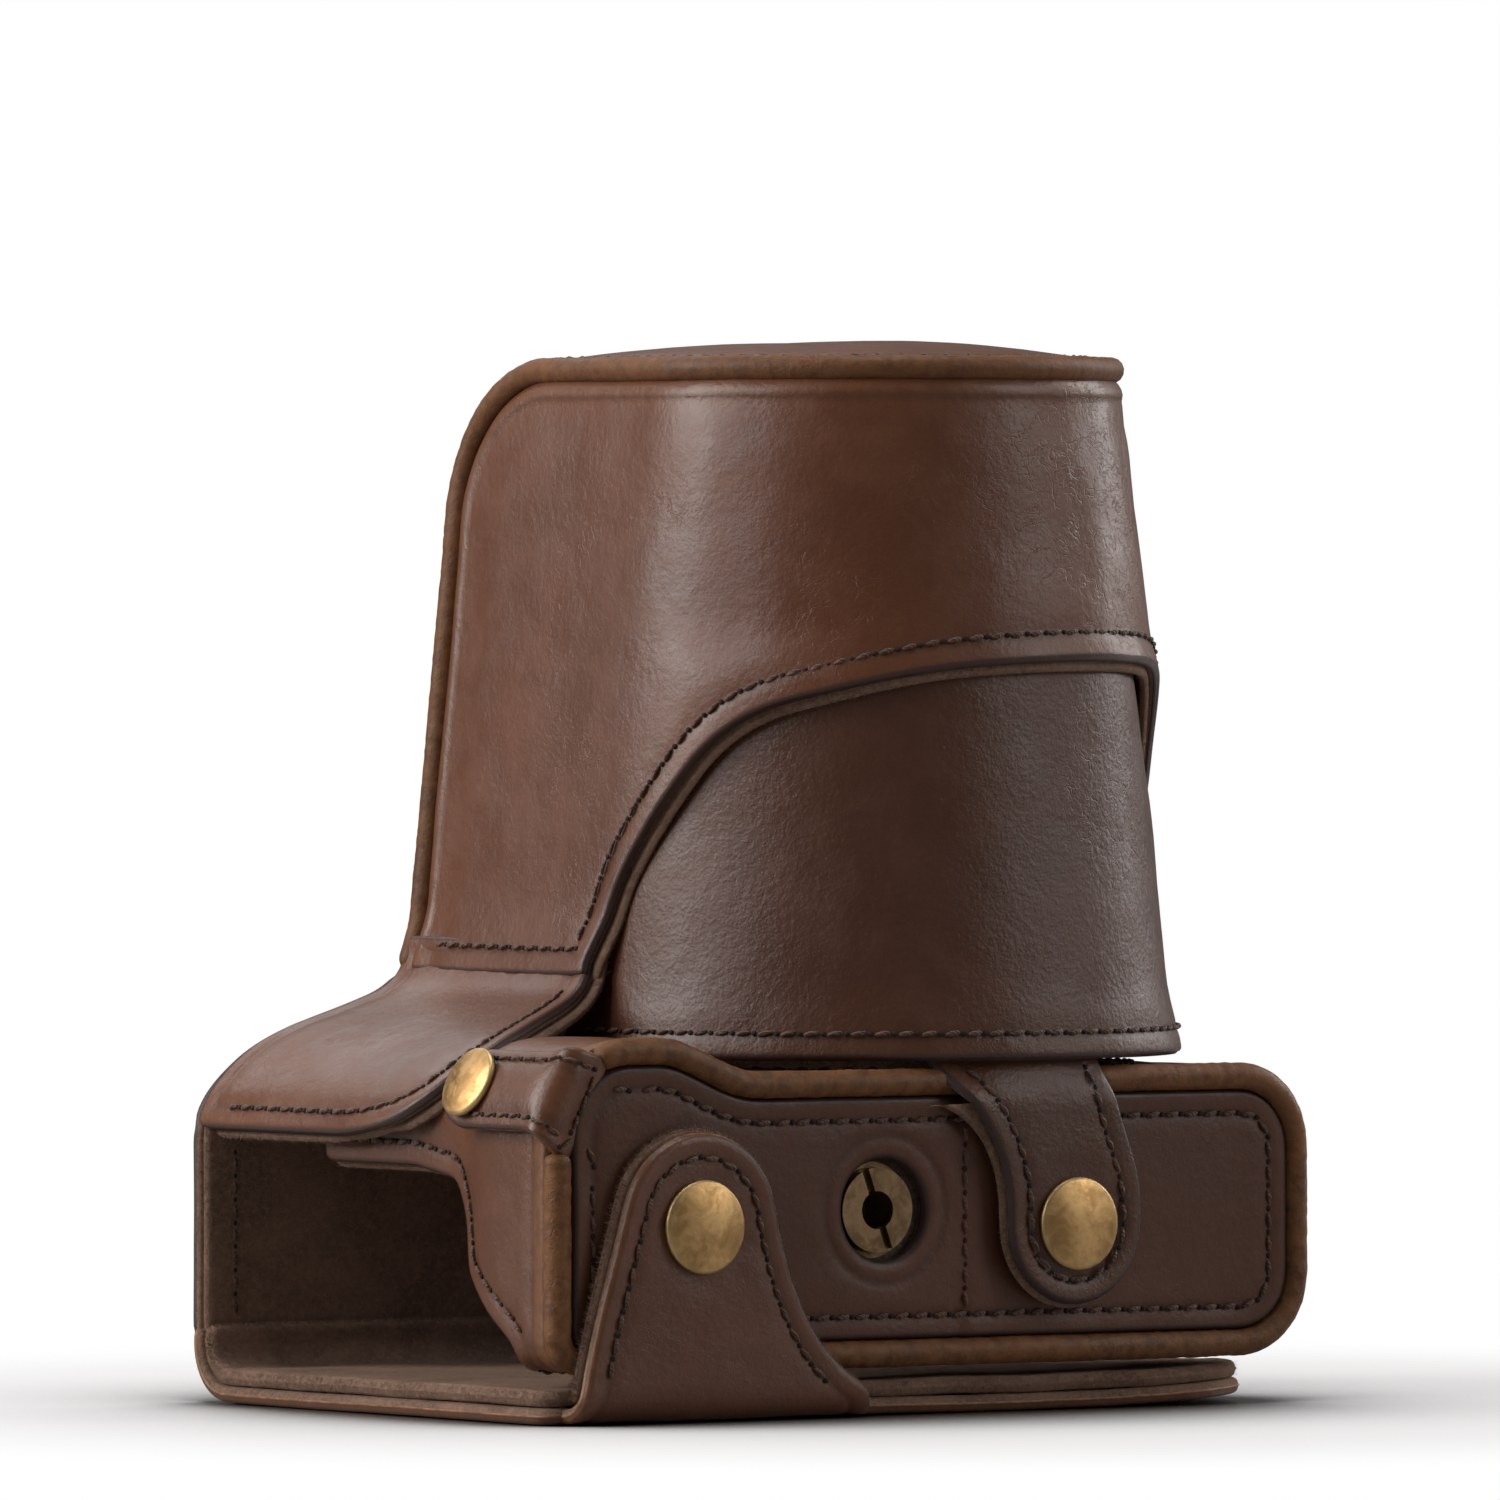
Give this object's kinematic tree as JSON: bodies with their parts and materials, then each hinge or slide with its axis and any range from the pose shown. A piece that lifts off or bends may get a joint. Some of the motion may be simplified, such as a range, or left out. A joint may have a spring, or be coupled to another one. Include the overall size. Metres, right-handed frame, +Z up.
{
  "type": "camera ever ready case",
  "caption": "Brown leather ever ready case for a small camera with a long lens: press-stud cover with a tall nose, screwed bottom half, suede lining.",
  "frame": {"origin": "on the lens axis, at the level of the surface that the case rests on", "axes": "+Z up along the lens axis, away from the rest plane; -Y towards the camera's base and the snaps; -X towards the grip end"},
  "size_m": [0.1275, 0.0911, 0.1423],
  "materials": {
    "leather": "satin",
    "worn_leather": "satin",
    "suede": "matte",
    "antique_brass": "satin",
    "board": "matte"
  },
  "bodies": {
    "half_case": {"tray_shell": "leather", "tray_lining": "suede", "tray_welt": "worn_leather", "base_board": "board", "base_lining": "suede", "base_panel": "leather", "screw_eyelet": "antique_brass", "tab_stud": "antique_brass", "strap_stud": "antique_brass", "top_panel": "leather", "top_panel_lining": "suede"},
    "rear_cover": {"rear_panel": "leather", "rear_panel_lining": "suede"},
    "tongue": {"rear_tongue": "leather", "rear_tongue_lining": "suede", "tongue_cap": "antique_brass", "tongue_socket": "antique_brass"},
    "flap": {"battery_flap": "leather", "battery_flap_lining": "suede", "tongue_stud": "antique_brass"},
    "strap": {"grip_strap": "leather", "strap_cap": "antique_brass", "strap_socket": "antique_brass"},
    "screw": {"tripod_screw": "antique_brass"},
    "nose_cover": {"hood": "leather", "hood_lining": "suede", "nose_wrap": "leather", "nose_lining": "suede", "nose_spine": "leather", "nose_piping": "worn_leather", "lens_skirt": "leather", "lens_skirt_lining": "suede"},
    "tab": {"front_tab": "leather", "front_tab_lining": "suede", "tab_cap": "antique_brass", "tab_socket": "antique_brass"}
  },
  "joints": [
    {"name": "rear_fold", "type": "hinge", "parent": "half_case", "child": "rear_cover", "pos_m": [0, 0.04486, 0.00234], "axis": [1, 0, 0], "range_deg": [0, 150]},
    {"name": "nose_fold", "type": "hinge", "parent": "half_case", "child": "nose_cover", "pos_m": [0, 0.0472, 0.0374], "axis": [-1, 0, 0], "range_deg": [0, 100]},
    {"name": "tongue_fold", "type": "hinge", "parent": "rear_cover", "child": "tongue", "pos_m": [-0.0476, -0.04153, 0.00117], "axis": [1, 0, 0], "range_deg": [0, 110]},
    {"name": "flap_fold", "type": "hinge", "parent": "half_case", "child": "flap", "pos_m": [-0.01525, -0.039, 0.026], "axis": [0, 0, 1], "range_deg": [0, 45]},
    {"name": "strap_fold", "type": "hinge", "parent": "flap", "child": "strap", "pos_m": [-0.07845, -0.03895, 0.04473], "axis": [0.4446, 0, 0.8957], "range_deg": [0, 110]},
    {"name": "screw_turn", "type": "hinge", "parent": "half_case", "child": "screw", "pos_m": [-0.0249, -0.036, 0.0273], "axis": [0, -1, 0], "continuous": true},
    {"name": "tab_fold", "type": "hinge", "parent": "nose_cover", "child": "tab", "pos_m": [0, -0.0427, 0.0464], "axis": [-1, 0, 0], "range_deg": [0, 90]}
  ],
  "couplings": [
    {"joint": "flap_fold", "follows": "rear_fold", "ratio": 0.3}
  ]
}
